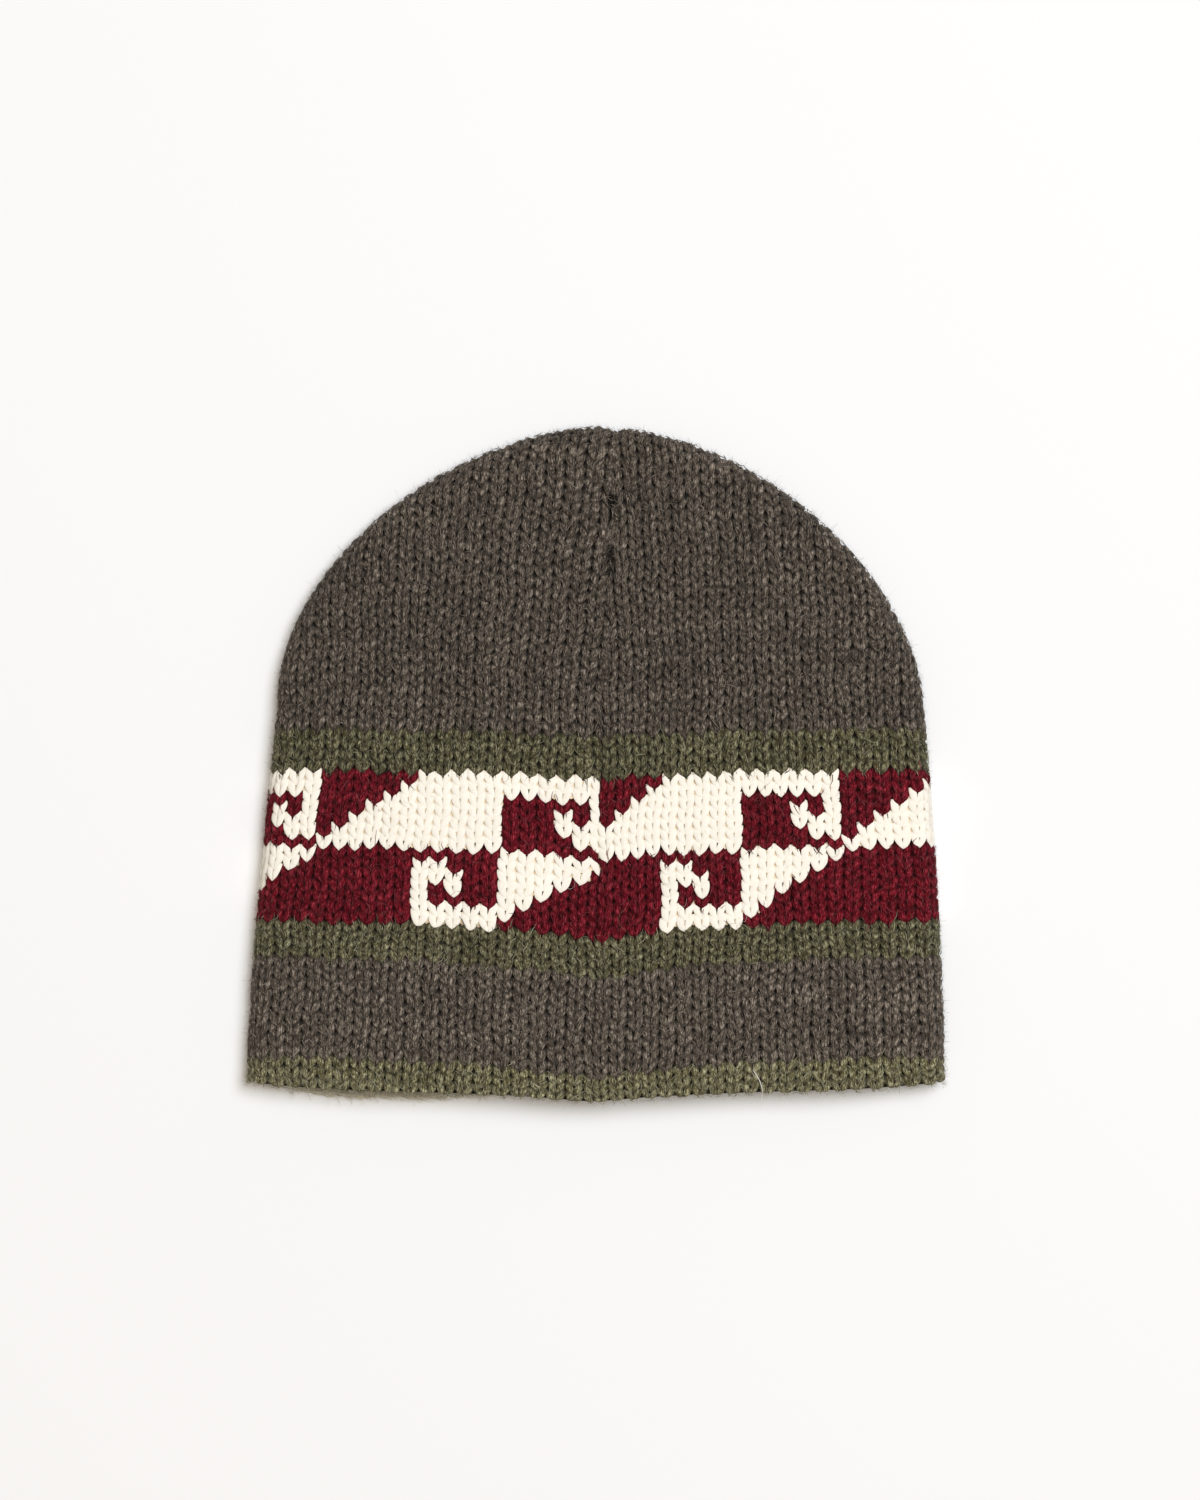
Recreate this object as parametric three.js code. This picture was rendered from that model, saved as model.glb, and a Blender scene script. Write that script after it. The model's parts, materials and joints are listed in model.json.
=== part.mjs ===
// Knitted wool skullcap, lying flat on its front with the back seam up.
// Millimetres, +Z up, +Y towards the crown; the origin is under the middle of the cap, on the surface it lies on.
import * as THREE from 'three';

// Fabric and the way that it lies
const wall = 3.6;               // thickness of the knitted fabric
const foldRadius = 6;           // outer radius of the soft fold down each side and round the crown
const puff = 4.2;               // how far the upper layer stands above the folds
const puffReach = 26;           // distance from a fold over which it rises most of that
const gap = 0.3;                // clearance between two zones of yarn

// Outline
const brimWidth = 222;          // across the cap at the brim
const domeWidth = 204.8;        // across the cap where its dome begins
const domeHeight = 87;          // from there to the top of the crown
const domeRoundness = 1.75;     // exponent of the dome's superellipse
const taperRoundness = 1.5;     // how late the sides start to draw in above the brim
const sideShift = 1.4;          // the upper part lies this far to the right of the brim
const domeLean = 0.9;           // the middle of the dome leans back this far to the left
const cornerLift = 3.2;         // how far the brim draws up at its two corners
const cornerSharpness = 6;      // how close to the corners it does so

// Zones of yarn, by their height up the sides
const edgeHeight = 11.7;
const brimBandHeight = 31.7;
const lowerStripeHeight = 11.4;
const motifHeight = 47.3;
const upperStripeHeight = 13.3;
const crownHeight = 96;

// Back seam, up the middle of the upper layer
const seamDip = 7.2;            // most that a row of stitches dips towards the brim at the seam
const dipReach = 38;            // distance from the seam over which a row recovers most of its dip
const seamStart = -1.3;         // sideways place of the seam at the brim
const seamEnd = 6.3;            // and at the top of the crown
const seamStraightness = 0.53;  // share of that drift which is even all the way up
const grooveDepth = 0.9;
const grooveWidth = 3.2;

// Dip of a row at the seam, as a share of seamDip, at a level named by zone and share of that zone
const rowDips = [
  { zone: 'brim_edge', share: 0, dip: 0.47 },
  { zone: 'brim_band', share: 0, dip: 0.97 },
  { zone: 'lower_stripe', share: 0, dip: 1 },
  { zone: 'motif_band', share: 0, dip: 0.87 },
  { zone: 'upper_stripe', share: 0, dip: 0.42 },
  { zone: 'crown', share: 0, dip: 0.37 },
  { zone: 'crown', share: 0.55, dip: 0.6 },
  { zone: 'crown', share: 0.85, dip: 0.5 },
  { zone: 'crown', share: 1, dip: 0 },
];

// Zones from the brim up: colour of the yarn and the number of rings of facets
const zones = [
  { name: 'brim_edge', height: edgeHeight, color: 0x5b5643, steps: 2 },
  { name: 'brim_band', height: brimBandHeight, color: 0x514942, steps: 4 },
  { name: 'lower_stripe', height: lowerStripeHeight, color: 0x545040, steps: 2 },
  { name: 'motif_band', height: motifHeight, color: 0x5c1c22, steps: 5 },
  { name: 'upper_stripe', height: upperStripeHeight, color: 0x52503a, steps: 2 },
  { name: 'crown', height: crownHeight, color: 0x4d453e, steps: 16 },
];

// Facets round a ring: by the seam, across each layer, and round each fold
const seamStations = [0, 0.03, 0.075];
const spanFacets = 5;
const foldFacets = 4;
const lipFacets = 4;
const outlineFacets = { side: 24, dome: 40 };
const foldSpread = 1.15;        // room that the fold's facets take, in quarter folds
const foldShare = 0.45;         // but no more than this share of a ring's half width
const seamShare = 0.2;          // and the seam is no further from a ring's middle than this share

const sideHeight = zones.reduce((sum, zone) => sum + zone.height, 0);
const brimDip = seamDip * rowDips[0].dip;
const capLength = sideHeight + brimDip;
const brimLevel = -capLength / 2 + brimDip;   // y of the brim at the sides
const topLevel = capLength / 2;               // y of the top of the crown
const domeLevel = topLevel - domeHeight;      // y where the dome begins
const quarterFold = foldRadius * Math.PI / 2;
const foldAllowance = quarterFold - foldRadius;

let nextLevel = brimLevel;
for (const zone of zones) {
  zone.low = nextLevel;
  zone.high = nextLevel + zone.height;
  nextLevel = zone.high;
}

const clamp01 = (value) => Math.min(1, Math.max(0, value));
const smooth = (share) => share * share * (3 - 2 * share);

function centreX(y) {
  const alongSides = clamp01((y - brimLevel) / (domeLevel - brimLevel));
  const alongDome = clamp01((y - domeLevel) / domeHeight);
  return sideShift * smooth(alongSides) - domeLean * Math.sin(Math.PI * alongDome);
}

function halfWidth(y) {
  if (y <= domeLevel) {
    const share = clamp01((y - brimLevel) / (domeLevel - brimLevel));
    return brimWidth / 2 - (brimWidth - domeWidth) / 2 * share ** taperRoundness;
  }
  const share = clamp01((y - domeLevel) / domeHeight);
  return domeWidth / 2 * (1 - share ** domeRoundness) ** (1 / domeRoundness);
}

function seamX(y) {
  const share = clamp01((y - brimLevel) / (topLevel - brimLevel));
  const drift = seamStraightness * share + (1 - seamStraightness) * share * share;
  return seamStart + (seamEnd - seamStart) * drift;
}

// The outline seen from above, from below one brim corner over the crown to below the other
function capOutline() {
  const right = [];
  right.push(new THREE.Vector2(halfWidth(brimLevel), brimLevel - brimWidth));
  for (let i = 0; i < outlineFacets.side; i += 1) {
    const y = brimLevel + (domeLevel - brimLevel) * i / outlineFacets.side;
    right.push(new THREE.Vector2(halfWidth(y), y));
  }
  for (let i = 0; i <= outlineFacets.dome; i += 1) {
    const angle = Math.PI / 2 * i / outlineFacets.dome;
    const y = domeLevel + domeHeight * Math.sin(angle) ** (2 / domeRoundness);
    right.push(new THREE.Vector2(halfWidth(y), y));
  }
  const left = right.slice(0, -1).reverse();
  return [
    ...right.map((point) => new THREE.Vector2(centreX(point.y) + point.x, point.y)),
    ...left.map((point) => new THREE.Vector2(centreX(point.y) - point.x, point.y)),
  ];
}

const outline = capOutline();

// Nearest point of the outline, and how far inside it a point of the plan lies
function fromOutline(x, y) {
  let best = { distance: Infinity, x: 0, y: 0 };
  for (let i = 1; i < outline.length; i += 1) {
    const a = outline[i - 1];
    const b = outline[i];
    const dx = b.x - a.x;
    const dy = b.y - a.y;
    const share = clamp01(((x - a.x) * dx + (y - a.y) * dy) / (dx * dx + dy * dy));
    const nearX = a.x + dx * share;
    const nearY = a.y + dy * share;
    const distance = Math.hypot(x - nearX, y - nearY);
    if (distance < best.distance) {
      best = { distance, x: nearX, y: nearY, alongX: dx, alongY: dy };
    }
  }
  const inside = y < topLevel && Math.abs(x - centreX(y)) < halfWidth(y);
  const length = Math.hypot(best.alongX, best.alongY);
  return {
    inside: inside ? best.distance : -best.distance,
    x: best.x,
    y: best.y,
    inX: -best.alongY / length,
    inY: best.alongX / length,
  };
}

// A point of the fabric: x and y are its place on a layer laid out flat, so that a place past the outline
// wraps round the fold on to the other layer; depth is measured in from the outer face
function fabricPoint(x, y, upper, depth) {
  const near = fromOutline(x, y);
  const along = near.inside + foldAllowance;
  const side = upper === along >= 0 ? 1 : -1;
  const reach = Math.abs(along);
  const point = new THREE.Vector3(x, y, 0);
  const normal = new THREE.Vector3(0, 0, side);
  if (reach < quarterFold) {
    const angle = reach / foldRadius;
    const inward = foldRadius * (1 - Math.cos(angle));
    point.set(near.x + near.inX * inward, near.y + near.inY * inward, 0);
    point.z = foldRadius * (1 + side * Math.sin(angle));
    normal.set(-near.inX * Math.cos(angle), -near.inY * Math.cos(angle), side * Math.sin(angle));
  } else if (side > 0) {
    const fade = Math.exp(-(reach - quarterFold) / puffReach);
    const slope = puff / puffReach * fade;
    point.z = 2 * foldRadius + puff * (1 - fade);
    normal.set(-near.inX * slope, -near.inY * slope, 1).normalize();
  }
  const fromSeam = (x - seamX(y)) / grooveWidth;
  const groove = upper ? grooveDepth * Math.exp(-fromSeam * fromSeam) : 0;
  return point.addScaledVector(normal, -depth - groove);
}

function levelOf(row) {
  const zone = zones.find((each) => each.name === row.zone);
  return zone.low + zone.height * row.share;
}

function dipAt(y) {
  const above = Math.max(1, rowDips.findIndex((row) => levelOf(row) >= y));
  const low = rowDips[above - 1];
  const high = rowDips[above];
  const share = clamp01((y - levelOf(low)) / (levelOf(high) - levelOf(low)));
  return seamDip * (low.dip + (high.dip - low.dip) * smooth(share));
}

// Where a level meets the outline of the layer laid out flat, on the side given by sign, found by halving
function flatHalfWidth(y, sign) {
  const halvings = 40;
  let low = 0;
  let high = brimWidth;
  for (let i = 0; i < halvings; i += 1) {
    const middle = (low + high) / 2;
    const reach = fromOutline(centreX(y) + sign * middle, y).inside + foldAllowance;
    if (reach > 0) low = middle;
    else high = middle;
  }
  return low;
}

// Places round one ring, as a sideways offset from the middle line and the layer that it is on
function ringPlaces(y) {
  const places = [];
  for (const upper of [true, false]) {
    const seamOffset = Math.min(seamX(y) - centreX(y), flatHalfWidth(y, 1) * seamShare);
    const start = upper ? seamOffset : 0;
    for (const sign of upper ? [-1, 1] : [1, -1]) {
      const edge = flatHalfWidth(y, sign) * sign;
      const foldReach = Math.min(quarterFold * foldSpread, Math.abs(edge) * foldShare);
      const span = edge - sign * foldReach;
      const half = [];
      for (const share of upper ? seamStations : [0]) {
        half.push(start + (span - start) * share);
      }
      const last = upper ? seamStations[seamStations.length - 1] : 0;
      for (let i = 1; i <= spanFacets; i += 1) {
        half.push(start + (span - start) * (last + (1 - last) * i / spanFacets));
      }
      for (let i = 1; i < foldFacets; i += 1) {
        half.push(span + sign * foldReach * i / foldFacets);
      }
      if (upper) half.push(edge);
      const outward = upper === (sign > 0);
      const ordered = outward ? half : half.reverse();
      if (outward) ordered.shift();
      places.push(...ordered.map((offset) => ({ offset, upper, sign, edge })));
    }
  }
  return places;
}

// A ring of the fabric at one level; the rows dip towards the seam and lift at the brim's corners
function fabricRing(y, depth, raise) {
  const lowShare = clamp01(1 - (y - brimLevel) / edgeHeight);
  return ringPlaces(y).map(({ offset, upper, edge }) => {
    const fromSeam = Math.abs(offset + centreX(y) - seamX(y));
    const reach = Math.abs(edge - (seamX(y) - centreX(y)));
    const atEdge = Math.exp(-reach / dipReach);
    const dip = upper ? dipAt(y) * (Math.exp(-fromSeam / dipReach) - atEdge) / (1 - atEdge) : 0;
    const lift = cornerLift * lowShare * Math.abs(offset / edge) ** cornerSharpness;
    return fabricPoint(centreX(y) + offset, y - dip + lift + raise, upper, depth);
  });
}

// Joins rings into one closed skin: a single point at an end closes it there, otherwise the last meets the first
function skin(rings) {
  const positions = [];
  const starts = rings.map((ring) => {
    const start = positions.length / 3;
    for (const point of ring) positions.push(point.x, point.y, point.z);
    return start;
  });
  const triangles = [];
  const joins = rings[0].length === 1 ? rings.length - 1 : rings.length;
  for (let i = 0; i < joins; i += 1) {
    const next = (i + 1) % rings.length;
    const count = Math.max(rings[i].length, rings[next].length);
    for (let j = 0; j < count; j += 1) {
      const k = (j + 1) % count;
      const a = starts[i] + (rings[i].length > 1 ? j : 0);
      const b = starts[i] + (rings[i].length > 1 ? k : 0);
      const c = starts[next] + (rings[next].length > 1 ? j : 0);
      const d = starts[next] + (rings[next].length > 1 ? k : 0);
      if (a !== b) triangles.push(a, b, c);
      if (c !== d) triangles.push(b, d, c);
    }
  }
  const geometry = new THREE.BufferGeometry();
  geometry.setAttribute('position', new THREE.Float32BufferAttribute(positions, 3));
  geometry.setIndex(triangles);
  geometry.computeVertexNormals();
  return geometry;
}

function levelsBetween(low, high, steps) {
  return Array.from({ length: steps + 1 }, (_, i) => low + (high - low) * i / steps);
}

// A plain zone: outer face up, then inner face down
function bandGeometry(zone) {
  const levels = levelsBetween(zone.low + gap / 2, zone.high - gap / 2, zone.steps);
  return skin([
    ...levels.map((y) => fabricRing(y, 0, 0)),
    ...levels.reverse().map((y) => fabricRing(y, wall, 0)),
  ]);
}

// The edge has a rounded lip, half the wall in radius, in place of its lower end
function edgeGeometry(zone) {
  const lipRadius = wall / 2;
  const lip = [];
  for (let i = 1; i < lipFacets; i += 1) {
    const angle = Math.PI * i / lipFacets;
    lip.push(fabricRing(zone.low, lipRadius * (1 + Math.cos(angle)), lipRadius * (1 - Math.sin(angle))));
  }
  const levels = levelsBetween(zone.low, zone.high - gap / 2, zone.steps);
  const raises = levels.map((_, i) => (i === 0 ? lipRadius : 0));
  return skin([
    ...lip,
    ...levels.map((y, i) => fabricRing(y, 0, raises[i])),
    ...levels.map((y, i) => fabricRing(y, wall, raises[i])).reverse(),
  ]);
}

// The crown closes to a point on the fold at the top, with its rings closer together towards it
function crownGeometry(zone) {
  const low = zone.low + gap / 2;
  const high = topLevel + foldAllowance;
  const levels = [];
  for (let i = 0; i < zone.steps; i += 1) {
    levels.push(low + (high - low) * Math.sin(Math.PI / 2 * i / zone.steps));
  }
  const pole = (depth) => [fabricPoint(centreX(high), high, true, depth)];
  const outer = levels.map((y) => fabricRing(y, 0, 0));
  const inner = levels.map((y) => fabricRing(y, wall, 0)).reverse();
  return skin([pole(wall), ...inner, ...outer, pole(0)]);
}

const shapers = { brim_edge: edgeGeometry, crown: crownGeometry };

const cap = new THREE.Group();
for (const zone of zones) {
  const shape = shapers[zone.name] ?? bandGeometry;
  const material = new THREE.MeshStandardMaterial({ color: zone.color, roughness: 0.95, metalness: 0 });
  const mesh = new THREE.Mesh(shape(zone), material);
  mesh.name = zone.name;
  cap.add(mesh);
}

export default cap;
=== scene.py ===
import json
import math

import bmesh
import bpy
import numpy as np
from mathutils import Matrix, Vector

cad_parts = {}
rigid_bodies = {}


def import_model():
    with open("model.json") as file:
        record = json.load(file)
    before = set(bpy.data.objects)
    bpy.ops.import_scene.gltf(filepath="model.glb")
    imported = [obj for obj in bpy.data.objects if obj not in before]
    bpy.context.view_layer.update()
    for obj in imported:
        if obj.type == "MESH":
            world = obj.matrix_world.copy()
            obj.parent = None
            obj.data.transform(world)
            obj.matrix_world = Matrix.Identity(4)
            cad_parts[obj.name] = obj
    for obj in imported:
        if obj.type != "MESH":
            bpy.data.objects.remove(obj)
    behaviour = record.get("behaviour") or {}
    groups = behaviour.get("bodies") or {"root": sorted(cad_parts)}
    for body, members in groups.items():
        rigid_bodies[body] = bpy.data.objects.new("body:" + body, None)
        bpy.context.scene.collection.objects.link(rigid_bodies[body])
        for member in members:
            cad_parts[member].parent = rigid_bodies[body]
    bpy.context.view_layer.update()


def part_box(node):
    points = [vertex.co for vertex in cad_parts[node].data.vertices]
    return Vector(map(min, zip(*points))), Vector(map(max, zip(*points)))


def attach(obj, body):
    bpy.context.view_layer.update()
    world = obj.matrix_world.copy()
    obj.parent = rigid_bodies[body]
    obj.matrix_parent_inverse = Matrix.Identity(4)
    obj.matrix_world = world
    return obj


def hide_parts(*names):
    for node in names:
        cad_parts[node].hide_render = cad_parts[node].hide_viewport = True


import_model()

# Everything is worked out in millimetres and made in metres
metre = 1000.0
rng = np.random.default_rng(8)

# The fabric and how it lies, as in the solids
fabric = {
    "wall": 3.6,
    "foldRadius": 6.0,        # outer radius of the fold down each side and over the crown
    "puff": 4.2,              # how far the upper layer stands above the folds
    "puffReach": 26.0,
    "puffStart": 6.0,         # over which it starts to rise
    "gap": 0.3,               # between two zones of yarn in the solids
    "domeWidth": 204.8,
    "domeHeight": 87.0,
    "domeRoundness": 1.75,
    "taperRoundness": 1.5,
    "sideShift": 1.4,
    "domeLean": 0.9,
    "cornerLift": 3.2,        # how far the brim's corners turn up
    "cornerSharpness": 6,
    "lipRaise": 0.9,          # the stitches end this far in from the solids' edge, and fuzz covers the rest
    "seamDip": 7.2,
    "dipReach": 38.0,
    "dipWidth": 30.0,         # least half width that the dip of the rows is spread over
    "seamStart": -1.3,
    "seamEnd": 6.3,
    "seamStraightness": 0.53,
    "grooveDepth": 1.3,       # a little deeper than in the solids, because yarn stands round it
    "grooveWidth": 3.0,
    "absorbed": 8.2,          # width of each side of the crown that runs into the seam by the top
    "absorbRoundness": 1.4,
    "absorbReach": 70.0,
    "seamPull": 45.0,         # how far from the seam its drift is felt in the crown
    "columnDrift": 2.1,       # how far columns halfway to a fold lie left of an even spacing
    "pastFold": 1.05,         # shares of the half width and of the dome's height up to which
    "pastTop": 1.1,           # stitches past the fold and past the top still change their place
}

# Zones of yarn from the brim up, with their rows of stitches, the dip of their lower edge at the seam,
# and how much lighter their yarn looks than others of its colour
zones = [
    {"name": "brim_edge", "rows": 3, "yarn": "olive", "dip": 0.47, "tone": 6.0},
    {"name": "brim_band", "rows": 9, "yarn": "charcoal", "dip": 0.97, "tone": 1.8},
    {"name": "lower_stripe", "rows": 4, "yarn": "olive", "dip": 1.0, "tone": 0.9},
    {"name": "motif_band", "rows": 14, "yarn": "burgundy", "dip": 0.87, "tone": 0.0},
    {"name": "upper_stripe", "rows": 4, "yarn": "olive", "dip": 0.42, "tone": 0.0},
    {"name": "crown", "rows": 28, "yarn": "charcoal", "dip": 0.37, "tone": 0.0},
]
crownDips = [(0.55, 0.6), (0.85, 0.5)]   # share of the crown's height, dip there
extraRows = 4                 # rows past the top at the sides, which dip back on to the crown by the seam

# Marks on the crown's seam, at a place of the plan: half width, half length, how much deeper, and how much
# painted light: painted shade in the slit and pit, a painted highlight on the ridge
seamMarks = {
    "slit": {"x": 4.2, "y": 64.4, "wide": 0.9, "long": 7.0, "deeper": 0.6, "paintedLight": -1.7},
    "pit": {"x": 4.9, "y": 83.6, "wide": 1.1, "long": 2.2, "deeper": 0.8, "paintedLight": -2.4},
    "ridge": {"x": 1.7, "y": 71.0, "wide": 1.3, "long": 13.0, "deeper": -0.35, "paintedLight": 2.6},
}
markEnds = 2.5                # how sharply a mark ends along the seam

# Columns of stitches: each side of the back seam on the upper layer, and round the lower one
columns = {"left": 20.5, "right": 21, "under": 41, "firstLeft": 17, "firstRight": 3, "firstUnder": 7}

# The motif band's figure, a stepped triangle and a hook in two registers: x is cream
figure = [
    "......xxxxxxxxxxx",
    ".....xxxxxxxxxxxx",
    "....xxxxxxx.....x",
    "...xxxxxxxx...x.x",
    "..xxxxxxxxx...xxx",
    ".xxxxxxxxxx....xx",
    "xxxxxxxxxxx......",
    "...........xxxxxx",
    "......xx...xxxxx.",
    "......xxx..xxxx..",
    "......x.x..xxx...",
    "......x....xx....",
    "......xxxxxx.....",
    "......xxxxx......",
]

# One leg of a stitch, from its point low in the stitch's middle to its top at the next column
# along: rows from the stitch's middle, across and half width: columns, thickness and depth: millimetres
legSections = [
    # along, across, half width, half thickness, depth of the middle
    (-0.88, 0.015, 0.000, 0.00, 1.80),
    (-0.76, 0.065, 0.098, 0.62, 1.45),
    (-0.55, 0.125, 0.165, 0.90, 1.20),
    (-0.30, 0.190, 0.222, 1.12, 1.10),
    (-0.04, 0.243, 0.252, 1.22, 1.12),
    (0.24, 0.285, 0.260, 1.20, 1.25),
    (0.50, 0.328, 0.236, 1.05, 1.50),
    (0.74, 0.383, 0.165, 0.75, 1.90),
    (0.90, 0.430, 0.000, 0.00, 2.30),
]
legSize = {
    "girth": 7.4,             # of the pattern laid round a leg, and its length
    "length": 5.6,
    "twist": 0.35,
    "upperFaces": (6, 8),     # sides and rings, fewer on the layer underneath
    "underFaces": (5, 5),
    "middle": 0.25,           # columns from the stitch's middle to a leg's
}


def smoothStep(share):
    share = np.clip(share, 0, 1)
    return share * share * (3 - 2 * share)


# Levels of the zones, read from the solids
print("levels")
edgeLow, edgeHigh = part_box("brim_edge")
brimWidth = 2 * max(-edgeLow.x, edgeHigh.x) * metre
brimLevel = edgeLow.y * metre + fabric["seamDip"] * zones[0]["dip"]
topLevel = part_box("crown")[1].y * metre
domeLevel = topLevel - fabric["domeHeight"]
quarterFold = fabric["foldRadius"] * math.pi / 2
foldAllowance = quarterFold - fabric["foldRadius"]
flatTop = topLevel + foldAllowance   # top of a layer laid out flat

rowMarks, levelMarks = [0], [brimLevel]
for zone in zones:
    zone["low"] = levelMarks[-1]
    zone["high"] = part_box(zone["name"])[1].y * metre + fabric["gap"] / 2
    if zone["name"] == "crown":
        zone["high"] = flatTop
    zone["firstRow"] = rowMarks[-1]
    rowMarks.append(rowMarks[-1] + zone["rows"])
    levelMarks.append(zone["high"])
totalRows = rowMarks[-1]
crownLow, crownHigh = zones[-1]["low"], zones[-1]["high"]
crownDipLevels = [crownLow + share * (crownHigh - crownLow) for share, _ in crownDips]
dipLevels = [zone["low"] for zone in zones] + crownDipLevels
dipShares = [zone["dip"] for zone in zones] + [dip for _, dip in crownDips]


def levelOfRow(row):
    edgePitch = (levelMarks[1] - levelMarks[0]) / zones[0]["rows"]
    crownPitch = (crownHigh - crownLow) / zones[-1]["rows"]
    beyond = np.minimum(row, 0) * edgePitch + np.maximum(row - totalRows, 0) * crownPitch
    return np.interp(row, rowMarks, levelMarks) + beyond


def centreX(y):
    alongSides = (y - brimLevel) / (domeLevel - brimLevel)
    alongDome = np.clip((y - domeLevel) / fabric["domeHeight"], 0, 1)
    return fabric["sideShift"] * smoothStep(alongSides) - fabric["domeLean"] * np.sin(math.pi * alongDome)


def halfWidth(y):
    alongSides = np.clip((y - brimLevel) / (domeLevel - brimLevel), 0, 1)
    alongDome = np.clip((y - domeLevel) / fabric["domeHeight"], 0, 1)
    taper = (brimWidth - fabric["domeWidth"]) / 2 * alongSides ** fabric["taperRoundness"]
    power = fabric["domeRoundness"]
    return (brimWidth / 2 - taper) * (1 - alongDome ** power) ** (1 / power)


def seamX(y):
    share = np.clip((y - brimLevel) / (topLevel - brimLevel), 0, 1)
    straight = fabric["seamStraightness"]
    drift = straight * share + (1 - straight) * share * share
    return fabric["seamStart"] + (fabric["seamEnd"] - fabric["seamStart"]) * drift


# Distance inside the outline, worked out once on a grid and read between its points
outline = {"left": -132, "right": 132, "low": -132, "high": 126, "sideSteps": 39, "domeSteps": 60}
gridX = np.arange(outline["left"], outline["right"] + 1, 1.0)
gridY = np.arange(outline["low"], outline["high"] + 1, 1.0)


def outlineGrid():
    angles = np.linspace(0, math.pi / 2, outline["domeSteps"] + 1)
    sides = np.linspace(brimLevel, domeLevel, outline["sideSteps"] + 1)[:-1]
    domes = domeLevel + fabric["domeHeight"] * np.sin(angles) ** (2 / fabric["domeRoundness"])
    ys = np.concatenate([[brimLevel - brimWidth], sides, domes])
    right = np.stack([centreX(ys) + halfWidth(ys), ys], 1)
    left = np.stack([centreX(ys) - halfWidth(ys), ys], 1)[:-1][::-1]
    line = np.concatenate([right, left])
    gx, gy = np.meshgrid(gridX, gridY, indexing="ij")
    nearest = np.full(gx.shape, np.inf)
    inside = (gy < topLevel) & (np.abs(gx - centreX(gy)) < halfWidth(gy))
    for a, b in zip(line[:-1], line[1:]):
        d = b - a
        share = np.clip(((gx - a[0]) * d[0] + (gy - a[1]) * d[1]) / (d @ d), 0, 1)
        nearest = np.minimum(nearest, np.hypot(gx - a[0] - d[0] * share, gy - a[1] - d[1] * share))
    return np.where(inside, nearest, -nearest)


print("outline")
insideGrid = outlineGrid()
inXGrid, inYGrid = np.gradient(insideGrid)   # which way is inwards


def readGrid(grid, x, y):
    fx = np.clip(x - gridX[0], 0, len(gridX) - 1.001)
    fy = np.clip(y - gridY[0], 0, len(gridY) - 1.001)
    i, j = fx.astype(int), fy.astype(int)
    u, v = fx - i, fy - j
    low = grid[i, j] * (1 - u) + grid[i + 1, j] * u
    high = grid[i, j + 1] * (1 - u) + grid[i + 1, j + 1] * u
    return low * (1 - v) + high * v


# The gentle unevenness of the upper layer, and how columns and rows stray sideways and lengthways
# Each wave: size, wavelengths across and up, phase
swells = [(0.45, 88, 120, 0.4), (0.3, 51, -74, 2.1), (0.22, -37, 43, 4.4)]
strayAcross = [(0.28, 90, 37, 1.0), (0.22, -60, 15.5, 2.2), (0.12, 41, 8.9, 0.3)]
strayUp = [(0.30, 43, 110, 0.6), (0.24, 17.5, 50, 3.9), (0.14, 8.3, -31, 5.1)]


def waves(table, x, y):
    return sum(size * np.sin(2 * math.pi * (x / wx + y / wy) + phase) for size, wx, wy, phase in table)


# Places and outward normals, this deep in the fabric, of places on a layer laid out flat
def fabricPoints(x, y, upper, depth):
    inside = readGrid(insideGrid, x, y)
    inX, inY = readGrid(inXGrid, x, y), readGrid(inYGrid, x, y)
    length = np.maximum(np.hypot(inX, inY), 1e-6)
    inX, inY = inX / length, inY / length
    along = inside + foldAllowance
    side = np.where(upper == (along >= 0), 1.0, -1.0)
    reach = np.abs(along)
    onFold = reach < quarterFold
    radius = fabric["foldRadius"]
    angle = np.minimum(reach / radius, math.pi / 2)
    inward = radius * (1 - np.cos(angle)) - inside
    past = np.maximum(reach - quarterFold, 0)
    eased = past * past / (past + fabric["puffStart"])
    easedSlope = (past * past + 2 * past * fabric["puffStart"]) / (past + fabric["puffStart"]) ** 2
    fade = np.exp(-eased / fabric["puffReach"])
    raised = np.where(side > 0, 1.0, 0.0)
    rise = raised * (fabric["puff"] + waves(swells, x, y)) * (1 - fade)
    slope = raised * fabric["puff"] / fabric["puffReach"] * fade * easedSlope
    points = np.stack([
        np.where(onFold, x + inX * inward, x),
        np.where(onFold, y + inY * inward, y),
        radius * (1 + side * np.sin(angle)) + rise,
    ], -1)
    flatPart = np.where(onFold, np.cos(angle), slope)
    normals = np.stack([-inX * flatPart, -inY * flatPart, side * np.sin(angle)], -1)
    normals /= np.linalg.norm(normals, axis=-1, keepdims=True)
    fromSeam = (x - seamX(y)) / fabric["grooveWidth"]
    groove = np.where(upper | onFold, fabric["grooveDepth"] * np.exp(-fromSeam ** 2), 0)
    return points - normals * (depth + groove)[..., None], normals


# How far a row dips by the seam
def dipAt(x, level, strength=1.0):
    reach = np.maximum(halfWidth(level) + foldAllowance, fabric["dipWidth"])
    atEdge = np.exp(-reach / fabric["dipReach"])
    dip = fabric["seamDip"] * np.interp(level, dipLevels, dipShares) * strength
    dip = dip * (np.exp(-np.abs(x - seamX(level)) / fabric["dipReach"]) - atEdge) / (1 - atEdge)
    return np.maximum(dip, 0)


# 1 at the brim and 0 from the next zone on
def nearBrim(level):
    return np.clip(1 - (level - brimLevel) / (levelMarks[1] - brimLevel), 0, 1)


def cornerLift(level, shareOut):
    return fabric["cornerLift"] * nearBrim(level) * shareOut ** fabric["cornerSharpness"]


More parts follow.
